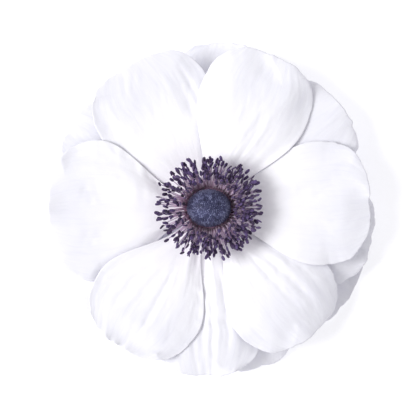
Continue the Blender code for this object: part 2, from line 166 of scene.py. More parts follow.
petalShapes = [
    {"name": "outer_petal_1", "heading": -127.0, "reach": 46.0, "halfWidth": 15.3, "droop": 7.3,
     "settled": 1, "crown": 0.8, "roll": 0.1, "wave": 0.2},
    {"name": "outer_petal_2", "heading": -72.0, "reach": 47.3, "halfWidth": 13.5, "droop": 5.4,
     "crown": 0.8, "sway": 0.4},
    {"name": "outer_petal_3", "heading": -31.0, "reach": 46.9, "halfWidth": 15.8, "droop": 8.0,
     "settled": 1, "crown": 0.9, "wave": 0.2},
    {"name": "outer_petal_4", "heading": -10.0, "reach": 46.7, "halfWidth": 15.8, "droop": 2.8,
     "root": 4.6, "rise": 2.8},
    {"name": "outer_petal_5", "heading": 37.5, "reach": 46.8, "halfWidth": 15.5, "droop": 1.0,
     "root": 5.3, "rise": 3.9, "crown": 0.9},
    {"name": "outer_petal_6", "heading": 82.0, "reach": 46.9, "halfWidth": 15.5, "droop": 7.8,
     "settled": 1, "crown": 0.8, "roll": 0.2, "wave": 0.2},
    {"name": "outer_petal_7", "heading": 148.0, "reach": 45.0, "halfWidth": 14.5, "droop": -0.6,
     "crown": 0.4, "roll": 0.0},
    {"name": "inner_petal_2", "heading": -91.0, "reach": 46.9, "halfWidth": 15.5, "droop": 1.0,
     "root": 5.3, "rise": 3.4, "crown": 0.3, "roll": 0.2, "wave": 0.5, "square": 2.7,
     "cadFolds": [(-0.10, 0.12, 0.7, 0.15, 0.95), (-0.45, 0.14, 0.5, 0.15, 0.8)],
     "folds": [(0.03, 0.14, 0.05, 0.5, 0.3, 1.0), (0.3, 0.4, 0.06, 0.35, 0.35, 0.9),
               (-0.3, -0.2, 0.05, 0.3, 0.45, 1.0)]},
    {"name": "inner_petal_3", "heading": -51.0, "reach": 45.8, "halfWidth": 15.8, "droop": 2.6,
     "root": 5.7, "rise": 3.0, "crown": 1.4, "roll": 0.4, "wave": 0.5, "square": 2.5,
     "claw": (0.19, 2.1), "settling": (0.4, 0.4),
     "folds": [(0.05, 0.1, 0.07, 0.25, 0.35, 0.85), (0.3, 0.36, 0.07, 0.25, 0.4, 0.95),
               (0.58, 0.62, 0.07, 0.2, 0.45, 0.9)]},
    {"name": "inner_petal_4", "heading": 2.5, "reach": 45.0, "halfWidth": 17.3, "droop": -0.4,
     "root": 6.1, "rise": 2.9, "crown": 0.6, "wave": 0.3, "settling": (0.4, 0.4),
     "folds": [(0.2, 0.25, 0.12, 0.3, 0.45, 0.9), (-0.35, -0.4, 0.1, 0.3, 0.5, 0.9)]},
    {"name": "inner_petal_5", "heading": 118.5, "reach": 45.6, "halfWidth": 17.2, "droop": -1.6,
     "root": 6.2, "rise": 2.8, "crown": -0.5, "roll": 0.1, "wave": 0.1, "square": 2.8,
     "settling": (0.4, 0.4), "cadFolds": [(-0.55, 0.14, 0.6, 0.5, 0.95)],
     "folds": [(-0.7, -0.66, 0.05, 0.45, 0.58, 0.9), (0.78, 0.84, 0.15, 0.35, 0.5, 0.96)]},
    {"name": "inner_petal_1", "heading": 181.5, "reach": 44.8, "halfWidth": 19.8, "droop": -1.4,
     "root": 6.9, "rise": 2.3, "crown": 0.2, "roll": 0.1, "wave": 0.5, "square": 2.4,
     "claw": (0.19, 2.1), "settling": (0.7, 0.4),
     "folds": [(-1.0, -1.0, 0.3, 0.8, 0.1, 0.75), (-0.2, -0.3, 0.10, 0.3, 0.5, 0.95),
               (0.3, 0.42, 0.08, 0.2, 0.55, 0.95)]},
    {"name": "inner_petal_6", "heading": -122.5, "reach": 46.1, "halfWidth": 16.2, "droop": -1.2,
     "root": 6.4, "rise": 2.2, "crown": -0.7, "roll": 0.0, "wave": 0.1, "square": 2.4,
     "claw": (0.19, 2.2), "settling": (0.3, 1.0),
     "folds": [(0.1, 0.12, 0.06, 0.3, 0.4, 0.95), (-0.4, -0.5, 0.08, 0.35, 0.45, 0.9),
               (1.0, 1.0, 0.25, 0.7, 0.1, 0.9)]},
    {"name": "inner_petal_7", "heading": 66.5, "reach": 46.2, "halfWidth": 15.8, "droop": 0.6,
     "root": 6.5, "rise": 3.7, "crown": 0.9, "roll": 0.4, "wave": 0.2, "settling": (0.85, 0.3),
     "cadFolds": [(-0.25, 0.12, 0.4, 0.12, 0.7), (-0.5, 0.12, 0.4, 0.15, 0.75)],
     "folds": [(-0.8, -0.9, 0.42, 0.7, 0.05, 0.56), (0.0, -0.29, 0.05, 0.1, 0.3, 0.74),
               (-0.37, -0.49, 0.05, 0.12, 0.3, 0.76)]},
]

# How the solids' petals are drawn and stacked, so that these lie where those do
petalGrowth = {
    "rootRadius": 4.75, "rootShare": 0.103, "widestShare": 0.68, "bowlShare": 0.56, "openedShare": 0.5,
    "foldFades": (0.1, 0.2), "waves": 5, "lobes": 9, "lobeDepth": 0.012,
    "coarseCells": (10, 7, 5), "pitch": 1.14, "apron": 1.5, "solidThickness": 0.62,
    "passes": 60, "rootHold": 0.5, "rootHoldRows": 3,
    "above": 100,  # where the rays that feel for lower petals start
}


def petalGrid(cells):
    across, toWidest, toTip = cells
    y = np.concatenate([np.linspace(-1, 0, toWidest + 1), np.linspace(0, 1, toTip + 1)[1:]])
    return np.meshgrid(np.linspace(-1, 1, across + 1), y)


def petalPlan(petal, x, y, rootRadius, notches=0):
    g = petalGrowth
    reach = petal["reach"]
    widest = g["widestShare"] * reach
    tipward = np.maximum(y, 0)
    roundX = x * np.sqrt(1 - tipward**2 / 2)
    roundY = tipward * np.sqrt(1 - x**2 / 2)
    turn = np.arctan2(roundY, roundX)
    power = petal["square"]
    swell = (np.abs(np.cos(turn)) ** power + np.abs(np.sin(turn)) ** power) ** (-1 / power)
    swell = swell * (1 + g["lobeDepth"] * tipward * np.sin(g["lobes"] * turn + petal["heading"]))
    for bumps, depth in ((9, 1.0), (26, 0.35)):  # broad notches, then fine ones
        nick = softNoise(turn * bumps + 20, turn * 0 + 0.5, petal["seed"])
        swell = swell * (1 + notches * depth * tipward * nick)
    along = widest + np.where(y < 0, (widest - rootRadius) * y, (reach - widest) * roundY * swell)
    grown = np.clip((along / reach - g["rootShare"]) / (g["widestShare"] - g["rootShare"]), 0, 1)
    claw, widening = petal["claw"]
    width = claw + (1 - claw) * np.sin(grown * math.pi / 2) ** widening
    narrowed = np.where(y < 0, width * x, roundX * swell)
    return along, petal["halfWidth"] * narrowed + petal["sway"] * (along / reach) ** 2


def petalHeight(petal, x, y, along):
    g = petalGrowth
    share = along / petal["reach"]
    bowl = np.sin(np.clip((share - g["rootShare"]) / (g["bowlShare"] - g["rootShare"]), 0, 1) * math.pi / 2)
    bend = np.clip((share - g["bowlShare"]) / (1 - g["bowlShare"]), 0, 1)
    bent = bend**2 * (1 + petal["settled"] * (2 - 2 * bend))
    opened = np.clip((share - g["rootShare"]) / (g["openedShare"] - g["rootShare"]), 0, 1)
    rim = np.maximum(np.abs(x) * opened, np.maximum(y, 0))
    height = petal["root"] + petal["rise"] * bowl - petal["droop"] * bent
    height = height - petal["crown"] * x**2 * opened - petal["roll"] * rim**6
    height = height + petal["wave"] * rim**4 * np.sin(g["waves"] * np.arctan2(y, x) + petal["heading"])
    for place, width, depth, start, end in petal["cadFolds"]:
        height = height - depth * foldShape(x, share, place, width, start, end, g["foldFades"])
    return height


def foldShape(x, share, place, width, start, end, fades):
    starting = np.clip((share - start) / fades[0], 0, 1)
    ending = np.clip((end - share) / fades[1], 0, 1)
    return starting * ending * np.exp(-(((x - place) / width) ** 2))


def petalRelief(petal, x, y, along):
    # what the solids leave out: sharp folds, pleats, veins and the ruffled rim, in millimetres
    look, seed = petalLook, petal["seed"]
    share = along / petal["reach"]
    opened = np.clip((share - look["smoothFoot"]) / look["smoothFade"], 0, 1)
    rim = np.maximum(np.abs(x) * opened, np.maximum(y, 0))
    turn = np.arctan2(y, x)
    relief = np.zeros_like(x)
    for fromPlace, toPlace, width, depth, start, end in petal["folds"]:
        place = fromPlace + (toPlace - fromPlace) * np.clip((share - start) / (end - start), 0, 1)
        place = place + 0.02 * softNoise(share * 30, x * 0 + 2.5, seed + 9)
        crinkled = depth * (1 + 0.6 * softNoise(share * 22, x * 0 + 0.5, seed + 10))
        relief -= crinkled * foldShape(x, share, place, width, start, end, look["foldFades"])
        beside = foldShape(x, share, place + 1.9 * width, width, start, end, look["foldFades"])
        relief += look["foldRidge"] * crinkled * beside
    strays = x + 0.05 * softNoise(x * 4 + 7, share * 6, seed + 4)
    strays = strays + 0.02 * softNoise(x * 9, share * 14, seed + 8)
    for kind, across, lengthwise, offset, step in (
        ("pleats", 5, 3.5, 11, 1), ("wrinkles", 11, 10, 17, 2), ("veinHeight", 21, 16, 30, 7),
    ):
        relief += look[kind] * opened * softNoise(strays * across + offset, share * lengthwise, seed + step)
    relief += look["unevenness"] * opened * softNoise(x * 1.8 + 5, share * 3.5, seed + 3)
    relief += look["ruffle"] * rim**5 * softNoise(turn * 5.5 + 30, turn * 0 + 0.3, seed + 5)
    relief += 0.4 * look["ruffle"] * rim**9 * softNoise(turn * 13 + 60, turn * 0 + 0.7, seed + 6)
    return relief - look["rimCurl"] * rim**10


def turned(petal, along, across, height):
    turn = math.radians(petal["heading"])
    east = along * math.cos(turn) - across * math.sin(turn)
    north = along * math.sin(turn) + across * math.cos(turn)
    return np.stack([east, north, height], axis=-1)


def gridQuads(rows, columns):
    index = np.arange(rows * columns).reshape(rows, columns)
    corners = index[:-1, :-1], index[1:, :-1], index[1:, 1:], index[:-1, 1:]
    return np.stack([c.ravel() for c in corners], axis=-1)


def widened(rows, width):
    first = rows[0] - rows[1]
    last = rows[-1] - rows[-2]
    first = rows[0] + width * first / np.linalg.norm(first, axis=-1, keepdims=True)
    last = rows[-1] + width * last / np.linalg.norm(last, axis=-1, keepdims=True)
    return np.concatenate([[first], rows, [last]])


def surfaceTree(sheet, apron=0):
    if apron:
        sheet = widened(sheet, apron)
        sheet = widened(sheet.swapaxes(0, 1), apron).swapaxes(0, 1)
    return BVHTree.FromPolygons(sheet.reshape(-1, 3).tolist(), gridQuads(*sheet.shape[:2]).tolist())


def liftNeeded(sheet, trees, pitch):
    need = np.zeros(sheet.shape[:2])
    down = Vector((0, 0, -1))
    for place in np.ndindex(need.shape):
        east, north, height = sheet[place]
        for tree in trees:
            hit = tree.ray_cast(Vector((east, north, petalGrowth["above"])), down)[0]
            if hit is not None and hit.z + pitch - height > need[place]:
                need[place] = hit.z + pitch - height
    return need


def settling(petal, sheet, trees, x, y, share):
    # how far the margins can sink towards the petals below
    clearance = petalLook["clearance"]
    slack = np.zeros(sheet.shape[:2])
    for place in np.ndindex(slack.shape):
        hits = [tree.ray_cast(Vector(sheet[place]), Vector((0, 0, -1)))[3] for tree in trees]
        gap = min([hit for hit in hits if hit is not None], default=clearance)
        slack[place] = np.clip(gap - clearance, 0, petalLook["settleLimit"])
    sinking = slack
    for _ in range(petalLook["settlePasses"]):
        sinking = np.minimum(slack, neighbourMean(sinking))
    start, fade = petalLook["settleMargin"]
    rimward = np.clip(((np.abs(x) ** 5 + np.maximum(y, 0) ** 5) ** 0.2 - start) / fade, 0, 1)
    start, fade = petalLook["settleFoot"]
    opened = np.clip((share - start) / fade, 0, 1)
    marginShare = np.interp(x, (-1, 1), petal["settling"])
    return marginShare * sinking * opened * rimward**2 * (3 - 2 * rimward)


def neighbourMean(values):
    padded = np.pad(values, 1, mode="edge")
    return (padded[:-2, 1:-1] + padded[2:, 1:-1] + padded[1:-1, :-2] + padded[1:-1, 2:]) / 4


def halved(rows):
    # with one more row halfway between each two
    finer = np.empty((2 * len(rows) - 1, *rows.shape[1:]))
    finer[::2] = rows
    finer[1::2] = (rows[:-1] + rows[1:]) / 2
    return finer


def liftAround(sheet, trees, pitch):
    # the lift each point needs for its whole neighbourhood to clear what is under it
    need = liftNeeded(halved(halved(sheet).swapaxes(0, 1)).swapaxes(0, 1), trees, pitch)
    rows, columns = need.shape
    padded = np.pad(need, 1, mode="edge")
    around = [padded[r : r + rows : 2, c : c + columns : 2] for r in range(3) for c in range(3)]
    return np.max(around, axis=0)


def spreadLift(need, passes, hold=1.0):
    lift = need
    for _ in range(passes):
        lift = np.maximum(need, neighbourMean(lift) * hold)
    return lift


def refined(values, coarse, fine):
    # values on the coarse grid, read off at the fine grid's places and smoothed
    columns = np.stack([np.interp(fine[0][0], coarse[0][0], row) for row in values])
    found = np.stack([np.interp(fine[1][:, 0], coarse[1][:, 0], column) for column in columns.T], axis=1)
    for _ in range(petalLook["smoothPasses"]):
        found = neighbourMean(found)
    return found


def makePetalSheets(petals):
    g, look = petalGrowth, petalLook
    coarse, fine = petalGrid(g["coarseCells"]), petalGrid(look["cells"])
    hold = np.interp(np.arange(len(coarse[0])), (0, g["rootHoldRows"]), (g["rootHold"], 1))[:, None]
    coarseTrees, fineTrees, sheets = [], [], []
    for petal in petals:
        along, across = petalPlan(petal, *coarse, g["rootRadius"])
        solid = turned(petal, along, across, petalHeight(petal, *coarse, along))
        lift = spreadLift(liftAround(solid, coarseTrees, g["pitch"]), g["passes"], hold)
        solid[..., 2] = np.maximum(solid[..., 2] + lift, g["solidThickness"] / 2)
        coarseTrees.append(surfaceTree(solid, g["apron"]))

        along, across = petalPlan(petal, *fine, look["innerRoot"], look["rimNotches"])
        height = petalHeight(petal, *fine, along) + refined(lift, coarse, fine)
        sheet = turned(petal, along, across, height + petalRelief(petal, *fine, along))
        extra = spreadLift(liftNeeded(sheet, fineTrees, look["clearance"]), look["liftPasses"])
        sheet[..., 2] += extra
        if fineTrees:
            sheet[..., 2] -= settling(petal, sheet, fineTrees, *fine, along / petal["reach"])
        sheet[..., 2] = np.maximum(sheet[..., 2], look["thickness"] / 2)
        fineTrees.append(surfaceTree(sheet))
        sheets.append(sheet)
        print("petal", petal["name"], "largest extra lift", round(float(extra.max()), 2), "mm")
    return sheets


def petalShell(name, sheet, x, y):
    # a closed skin round the sheet, thinner towards the rim
    rows, columns = x.shape
    rim = np.maximum(np.abs(x), np.maximum(y, 0))
    thickness = petalLook["thickness"] + (petalLook["rimThickness"] - petalLook["thickness"]) * rim**3
    up = np.cross(np.gradient(sheet, axis=0), np.gradient(sheet, axis=1))
    up /= np.linalg.norm(up, axis=-1, keepdims=True)
    offset = up * (thickness / 2)[..., None]
    over = gridQuads(rows, columns)
    count = rows * columns
    under = over[:, ::-1] + count
    index = np.arange(count).reshape(rows, columns)
    edge = np.concatenate([index[0], index[1:, -1], index[-1, -2::-1], index[-2:0:-1, 0]])
    following = np.roll(edge, -1)
    sides = np.stack([edge, following, following + count, edge + count], axis=-1)
    points = np.concatenate([(sheet + offset).reshape(-1, 3), (sheet - offset).reshape(-1, 3)]) * mm
    points = points + np.array(bloomAxis)
    mesh = bpy.data.meshes.new(name)
    mesh.from_pydata(points.tolist(), [], np.concatenate([over, under, sides]).tolist())
    flat = np.stack([(x + 1) / 2, (y + 1) / 2], axis=-1).reshape(-1, 2)
    corner = np.zeros(len(mesh.loops), np.int32)
    mesh.loops.foreach_get("vertex_index", corner)
    layer = mesh.uv_layers.new(name="petalPlan")
    layer.data.foreach_set("uv", np.concatenate([flat, flat])[corner].ravel().astype(np.float32))
    back = mesh.attributes.new("petalBack", "FLOAT", "POINT")
    back.data.foreach_set("value", np.repeat([0.0, 1.0], count).astype(np.float32))
    mesh.shade_smooth()
    return mesh


def whitePetalTissue():
    # Living petal tissue: matt and velvety, lets some light through, so shadows in it stay soft and cool.
    # The veins are a breath of grey-violet, and the back is flushed with it towards the root.
    made, tree, shader = newMaterial(
        "white petal tissue", **{"Roughness": 0.62, "IOR": 1.42, "Specular IOR Level": 0.28,
        "Subsurface Weight": 0.12, "Subsurface Radius": (1.0, 0.95, 1.0), "Subsurface Scale": 0.6 * mm,
        "Sheen Weight": 0.12, "Sheen Roughness": 0.5},
    )
    plan = addNode(tree, "ShaderNodeUVMap", uv_map="petalPlan")
    along = addNode(tree, "ShaderNodeSeparateXYZ", {0: plan}).outputs[1]
    spot = addNode(tree, "ShaderNodeTexCoord").outputs["Object"]

    # veins run root to tip and wander a little, about 0.6 mm apart at the widest place
    veinPlace = addNode(tree, "ShaderNodeMapping", {"Vector": plan, "Scale": (52.0, 3.2, 1.0)})
    veins = addNode(
        tree, "ShaderNodeTexNoise", {"Vector": veinPlace, "Scale": 1.0, "Detail": 3.0,
        "Roughness": 0.6, "Distortion": 0.4},
    )
    veinLines = addNode(tree, "ShaderNodeMapRange", {"Value": veins, "From Min": 0.50, "From Max": 0.78})

    # broad streaks where the tissue is thicker, 4 to 6 mm wide
    streakPlace = addNode(tree, "ShaderNodeMapping", {"Vector": plan, "Scale": (7.0, 1.3, 1.0)})
    streaks = addNode(tree, "ShaderNodeTexNoise", {"Vector": streakPlace, "Scale": 1.0, "Detail": 4.0})
    streakShare = addNode(
        tree, "ShaderNodeMapRange", {"Value": streaks, "From Min": 0.42, "From Max": 0.72},
    )

    # painted light and shade: the skin turns whiter towards the root, lifting the shade the stamens throw
    # round it, and keeps the greyer base colour towards the tip
    rootLightShare = addNode(
        tree, "ShaderNodeMapRange", {"Value": along, "From Min": 0.72, "From Max": 0.1},
        interpolation_type="SMOOTHSTEP",
    )
    back = addNode(tree, "ShaderNodeAttribute", attribute_name="petalBack")

    veinTint = addNode(tree, "ShaderNodeMath", {0: veinLines, 1: 0.45}, operation="MULTIPLY")
    streakTint = addNode(
        tree, "ShaderNodeMath", {0: streakShare, 1: 0.35, 2: veinTint},
        operation="MULTIPLY_ADD", use_clamp=True,
    )
    paintedRootLight = addNode(tree, "ShaderNodeMath", {0: rootLightShare, 1: 0.8}, operation="MULTIPLY")
    backward = addNode(
        tree, "ShaderNodeMapRange", {"Value": along, "From Min": 0.95, "From Max": 0.1, "To Min": 0.12},
    )
    backTint = addNode(tree, "ShaderNodeMath", {0: backward, 1: back.outputs["Fac"]}, operation="MULTIPLY")

    # cells of the skin, drawn at 0.3 mm because the real ones are too fine to show
    cells = addNode(tree, "ShaderNodeTexNoise", {"Vector": spot, "Scale": 3300.0, "Detail": 2.0})
    relief = addNode(tree, "ShaderNodeMath", {0: veins, 1: 1.5, 2: cells}, operation="MULTIPLY_ADD")
    covers = [(streakTint, "#DFDFEA"), (paintedRootLight, "#FCFBFF"), (backTint, "#C9C8DC")]
    finishMaterial(tree, shader, colour("#EBEBF1"), covers, relief, strength=0.22, depth=0.05)
    return made


petals = [{**petalDefaults, **shape, "seed": 10 * k + 3} for k, shape in enumerate(petalShapes)]
petalTissue = whitePetalTissue()
gridX, gridY = petalGrid(petalLook["cells"])
for petal, sheet in zip(petals, makePetalSheets(petals)):
    mesh = petalShell(petal["name"], sheet, gridX, gridY)
    mesh.materials.append(petalTissue)
    addPiece("fine_" + petal["name"], mesh, "white_petal", petal["name"])
print("petals made:", len(petals))


# Geometry Nodes helpers


def newTree(name, sockets):
    # sockets: name, kind and value of each input
    tree = bpy.data.node_groups.new(name, "GeometryNodeTree")
    tree.interface.new_socket("Geometry", in_out="OUTPUT", socket_type="NodeSocketGeometry")
    for socketName, kind, value in sockets:
        socket = tree.interface.new_socket(socketName, in_out="INPUT", socket_type="NodeSocket" + kind)
        if value is not None:
            socket.default_value = value
    return tree, addNode(tree, "NodeGroupInput").outputs


def finishTree(tree, parts, material):
    joined = addNode(tree, "GeometryNodeJoinGeometry")
    for part in parts:
        tree.links.new(part, joined.inputs[0])
    shaded = addNode(tree, "GeometryNodeSetShadeSmooth", {"Geometry": joined, "Shade Smooth": True})
    real = addNode(tree, "GeometryNodeRealizeInstances", {"Geometry": shaded})
    painted = addNode(tree, "GeometryNodeSetMaterial", {"Geometry": real, "Material": material})
    addNode(tree, "NodeGroupOutput", {0: painted})


def meshFromTree(name, tree, values, body=None):
    # runs the tree on the body or on an empty mesh, and returns the plain mesh that it makes
    obj = bpy.data.objects.new(name, body or bpy.data.meshes.new(name))
    bpy.context.scene.collection.objects.link(obj)
    modifier = obj.modifiers.new("shape", "NODES")
    modifier.node_group = tree
    for item in tree.interface.items_tree:
        if item.in_out == "INPUT" and item.name in values:
            modifier[item.identifier] = values[item.name]
    graph = bpy.context.evaluated_depsgraph_get()
    mesh = bpy.data.meshes.new_from_object(obj.evaluated_get(graph))
    obj.modifiers.clear()
    bpy.data.objects.remove(obj)
    return mesh


def spiral(tree, count):
    # a sunflower's spiral: each point's number, how far it is through them all, and its angle
    index = addNode(tree, "GeometryNodeInputIndex")
    middle = addNode(tree, "ShaderNodeMath", {0: index, 1: 0.5}, operation="ADD")
    share = addNode(tree, "ShaderNodeMath", {0: middle, 1: count}, operation="DIVIDE")
    angle = addNode(tree, "ShaderNodeMath", {0: index, 1: goldenAngle}, operation="MULTIPLY")
    return index, share, angle


def leaned(tree, rotation, limit, turnLimit, draw):
    # the rotation, tipped at random by up to the limit both ways and turned about its own axis
    least = addNode(tree, "ShaderNodeMath", {0: limit, 1: -1.0}, operation="MULTIPLY")
    lowest = addNode(tree, "ShaderNodeCombineXYZ", {0: least, 1: least})
    highest = addNode(tree, "ShaderNodeCombineXYZ", {0: limit, 1: limit, 2: turnLimit})
    lean = addNode(
        tree, "FunctionNodeRandomValue", {0: lowest, 1: highest, **draw}, data_type="FLOAT_VECTOR",
    )
    leaning = addNode(tree, "FunctionNodeEulerToRotation", {0: lean})
    return addNode(
        tree, "FunctionNodeRotateRotation", {"Rotation": rotation, "Rotate By": leaning},
        rotation_space="LOCAL",
    )


# Stamens. A ring of pale filaments bends up and out from a low oval shoulder under the pistils,
# and each ends in a dark two-lobed anther. Lengths in the dictionary are millimetres.

stamenLook = {
    "Count": 560,
    "Inner Ring": 7.3,
    "Outer Ring": 14.4,
    "Inner Height": 16.8,
    "Outer Height": 14.9,
    "Scatter": 0.9,
    "Swing": 0.12,
    "Left Gaps": 0.36,  # share of them missing there
    "Oval": 0.96,
    "Root Radius X": 6.2,
    "Root Radius Y": 5.4,
    "Root Height": 10.3,
    "Bend": 0.85,
    "Filament Radius": 0.15,
    "Anther Length": 1.75,
    "Anther Width": 1.0,
    "Anther Depth": 0.7,
    "Anther Tilt": 0.5,
    "Shoulder Radius X": 7.0,
    "Shoulder Radius Y": 6.1,
    "Shoulder Foot": 9.3,
    "Shoulder Height": 1.6,
    "Seed": 7,
}
filamentPoints = 9
bendShare = 0.42  # how far from root to tip a filament bends
tuftReach = 0.9 * mm  # how far the ring's edge comes and goes
antherBluntness = 0.45
antherStretch = 1.37
knobHeight = 0.2 * mm
plainInputs = ("Count", "Swing", "Left Gaps", "Oval", "Anther Tilt", "Cut", "Style Lean", "Seed")


def inMetres(look):
    # the inputs that aren't lengths stay as they are
    return {name: value if name in plainInputs else value * mm for name, value in look.items()}


def lookSockets(look):
    kinds = {"Count": "Int", "Seed": "Int"}
    return [(name, kinds.get(name, "Float"), value) for name, value in inMetres(look).items()]


def stamenPoints(tree, sizes):
    # one point for each stamen, carrying its root, its bend and its tip
    index, share, angle = spiral(tree, sizes["Count"])
    points = addNode(tree, "GeometryNodePoints", {"Count": sizes["Count"], "Radius": 0.1 * mm})
    outward = addNode(tree, "ShaderNodeMath", {0: share, 1: 0.8}, operation="POWER")
    stray = addNode(
        tree, "FunctionNodeRandomValue",
        {0: (-1, -1, -1), 1: (1, 1, 1), "ID": index, "Seed": sizes["Seed"]}, data_type="FLOAT_VECTOR",
    )
    strayOut, strayUp, strayRound = addNode(tree, "ShaderNodeSeparateXYZ", {0: stray}).outputs

    unit = addNode(
        tree, "ShaderNodeVectorRotate", {"Vector": (1, 0, 0), "Angle": angle}, rotation_type="Z_AXIS",
    )
    tuft = addNode(tree, "ShaderNodeTexNoise", {"Vector": unit, "Scale": 2.6, "Detail": 1.0})
    tufts = addNode(
        tree, "ShaderNodeMapRange",
        {"Value": tuft, "From Min": 0.25, "From Max": 0.75, "To Min": -tuftReach, "To Max": tuftReach},
    )
    farthest = addNode(tree, "ShaderNodeMath", {0: tufts, 1: sizes["Outer Ring"]}, operation="ADD")
    ring = addNode(tree, "ShaderNodeMix", {0: outward, 2: sizes["Inner Ring"], 3: farthest})
    level = addNode(tree, "ShaderNodeMix", {0: outward, 2: sizes["Inner Height"], 3: sizes["Outer Height"]})
    ringPlace, height, tipAngle = [
        addNode(tree, "ShaderNodeMath", {0: draw, 1: sizes[reach], 2: place}, operation="MULTIPLY_ADD")
        for draw, reach, place in (
            (strayOut, "Scatter", ring), (strayUp, "Scatter", level), (strayRound, "Swing", angle),
        )
    ]
    straight = addNode(tree, "ShaderNodeCombineXYZ", {0: ringPlace})
    around = addNode(
        tree, "ShaderNodeVectorRotate", {"Vector": straight, "Angle": tipAngle}, rotation_type="Z_AXIS",
    )
    ovalScale = addNode(tree, "ShaderNodeCombineXYZ", {0: 1.0, 1: sizes["Oval"]})
    ovalPlace = addNode(tree, "ShaderNodeVectorMath", {0: around, 1: ovalScale}, operation="MULTIPLY")
    tipLevel = addNode(tree, "ShaderNodeCombineXYZ", {2: height})
    tip = addNode(tree, "ShaderNodeVectorMath", {0: ovalPlace, 1: tipLevel})

    rootScale = addNode(
        tree, "ShaderNodeCombineXYZ", {0: sizes["Root Radius X"], 1: sizes["Root Radius Y"]},
    )
    rootLevel = addNode(tree, "ShaderNodeCombineXYZ", {2: sizes["Root Height"]})
    root = addNode(
        tree, "ShaderNodeVectorMath", {0: unit, 1: rootScale, 2: rootLevel}, operation="MULTIPLY_ADD",
    )
    halfway = addNode(tree, "ShaderNodeMix", {0: bendShare, 4: root, 5: tip}, data_type="VECTOR")
    bendUp = addNode(tree, "ShaderNodeCombineXYZ", {2: sizes["Bend"]})
    bend = addNode(tree, "ShaderNodeVectorMath", {0: halfway.outputs[1], 1: bendUp})
    tint = addNode(tree, "FunctionNodeRandomValue", {2: 0.0, 3: 1.0, "ID": index, "Seed": 31})
    for name, kind, value in (
        ("root", "FLOAT_VECTOR", root), ("bend", "FLOAT_VECTOR", bend), ("tip", "FLOAT_VECTOR", tip),
        ("stamenTint", "FLOAT", tint.outputs[1]),
    ):
        points = addNode(
            tree, "GeometryNodeStoreNamedAttribute", {"Geometry": points, "Name": name, "Value": value},
            data_type=kind, domain="POINT",
        )

    # they stand thinner on the left
    aside = addNode(tree, "ShaderNodeVectorMath", {0: unit, 1: (-1, 0, 0)}, operation="DOT_PRODUCT")
    thinned = addNode(
        tree, "ShaderNodeMapRange",
        {"Value": aside.outputs["Value"], "From Min": 0.55, "From Max": 0.95, "To Max": sizes["Left Gaps"]},
    )
    chance = addNode(tree, "FunctionNodeRandomValue", {2: 0.0, 3: 1.0, "ID": index, "Seed": 44})
    missing = addNode(tree, "ShaderNodeMath", {0: chance.outputs[1], 1: thinned}, operation="LESS_THAN")
    return addNode(tree, "GeometryNodeDeleteGeometry", {"Geometry": points, "Selection": missing})


def filamentThreads(tree, sizes, points, root, bend, tip):
    line = addNode(tree, "GeometryNodeCurvePrimitiveLine", {"Start": (0, 0, 0), "End": (0, 0, mm)})
    dense = addNode(tree, "GeometryNodeResampleCurve", {"Curve": line, "Count": filamentPoints})
    placed = addNode(tree, "GeometryNodeInstanceOnPoints", {"Points": points, "Instance": dense})
    real = addNode(tree, "GeometryNodeRealizeInstances", {"Geometry": placed})
    along = addNode(tree, "GeometryNodeSplineParameter").outputs["Factor"]
    early = addNode(tree, "ShaderNodeMix", {0: along, 4: root, 5: bend}, data_type="VECTOR")
    late = addNode(tree, "ShaderNodeMix", {0: along, 4: bend, 5: tip}, data_type="VECTOR")
    curved = addNode(
        tree, "ShaderNodeMix", {0: along, 4: early.outputs[1], 5: late.outputs[1]}, data_type="VECTOR",
    )
    bent = addNode(tree, "GeometryNodeSetPosition", {"Geometry": real, "Position": curved.outputs[1]})
    slimming = addNode(tree, "ShaderNodeMapRange", {"Value": along, "To Min": 1.25, "To Max": 0.7})
    radius = addNode(
        tree, "ShaderNodeMath", {0: slimming, 1: sizes["Filament Radius"]}, operation="MULTIPLY",
    )
    sized = addNode(tree, "GeometryNodeSetCurveRadius", {"Curve": bent, "Radius": radius})
    marked = addNode(
        tree, "GeometryNodeStoreNamedAttribute", {"Geometry": sized, "Name": "alongStamen", "Value": along},
        data_type="FLOAT", domain="POINT",
    )
    profile = addNode(tree, "GeometryNodeCurvePrimitiveCircle", {"Resolution": 5, "Radius": 1.0})
    return addNode(
        tree, "GeometryNodeCurveToMesh",
        {"Curve": marked, "Profile Curve": profile, "Fill Caps": True, "Scale": radius},
    )


